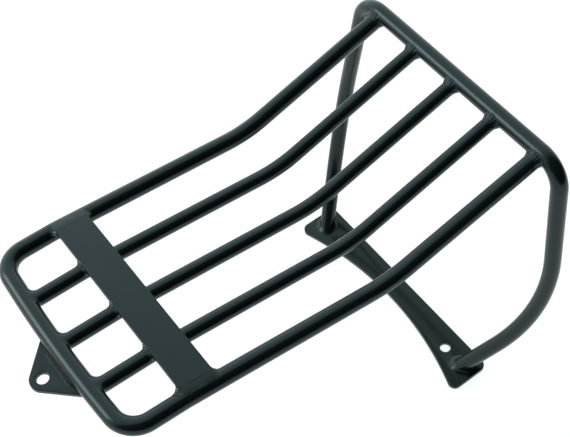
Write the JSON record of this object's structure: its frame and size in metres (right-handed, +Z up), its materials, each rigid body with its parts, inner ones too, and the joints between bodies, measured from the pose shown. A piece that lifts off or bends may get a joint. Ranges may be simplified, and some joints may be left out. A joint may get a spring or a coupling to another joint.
{
  "type": "motorcycle rear luggage rack",
  "caption": "Rigid welded round-bar luggage rack: slatted deck that kicks up at the rear, tall hoop with legs, drilled mounting strap and front mounting tab.",
  "frame": {"origin": "middle of the cross plate's top face, on the rack's centre line", "axes": "+Z up out of the deck, +Y along the deck to the rear hoop, +X to the rack's right side seen from behind the tab looking to the hoop"},
  "size_m": [0.2556, 0.3709, 0.2478],
  "materials": {
    "black_coat": "gloss black powder coat",
    "weld_coat": "gloss black powder coat over weld beads"
  },
  "bodies": {
    "root": {"rear_hoop": "black_coat", "deck_rail": "black_coat", "inner_bar_left": "black_coat", "inner_bar_center": "black_coat", "inner_bar_right": "black_coat", "cross_plate": "black_coat", "front_mount_tab": "black_coat", "rear_mount_strap": "black_coat", "weld_front_left": "weld_coat", "weld_front_center": "weld_coat", "weld_front_right": "weld_coat", "weld_rear_left": "weld_coat", "weld_rear_center": "weld_coat", "weld_rear_right": "weld_coat", "weld_rail_left": "weld_coat", "weld_rail_right": "weld_coat", "weld_foot_left": "weld_coat", "weld_foot_right": "weld_coat", "weld_plate_left": "weld_coat", "weld_plate_right": "weld_coat", "weld_plate_bar_left": "weld_coat", "weld_plate_bar_center": "weld_coat", "weld_plate_bar_right": "weld_coat", "weld_tab": "weld_coat"}
  },
  "joints": []
}
